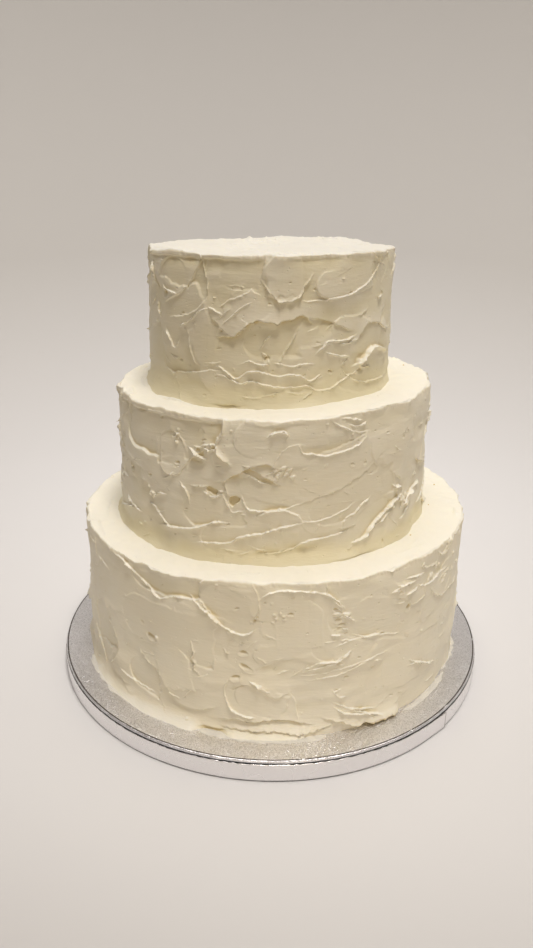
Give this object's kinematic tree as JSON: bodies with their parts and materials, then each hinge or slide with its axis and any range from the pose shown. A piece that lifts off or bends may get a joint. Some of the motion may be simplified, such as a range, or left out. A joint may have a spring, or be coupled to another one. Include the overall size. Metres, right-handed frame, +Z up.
{
  "type": "tiered cake",
  "caption": "Round iced tiers of falling size stacked off-true on a thick foil-covered round board, with rough knife-drawn walls and flat tops, for a celebration table.",
  "frame": {"origin": "centre of the board's underside", "axes": "+Z up through the stack of tiers; -Y towards the front of the cake; +X to the right seen from the front"},
  "size_m": [0.305, 0.305, 0.2893],
  "materials": {
    "silver_foil": "embossed silver foil paper, fine crinkled grain, soft sheen",
    "foil_strip": "smooth silver foil paper, satin",
    "buttercream": "soft pale cream icing, satin to matt, drawn with a knife"
  },
  "bodies": {
    "root": {"cake_drum": "silver_foil", "drum_edge_strip": "foil_strip", "tier_bottom": "buttercream", "tier_middle": "buttercream", "tier_top": "buttercream"}
  },
  "joints": []
}
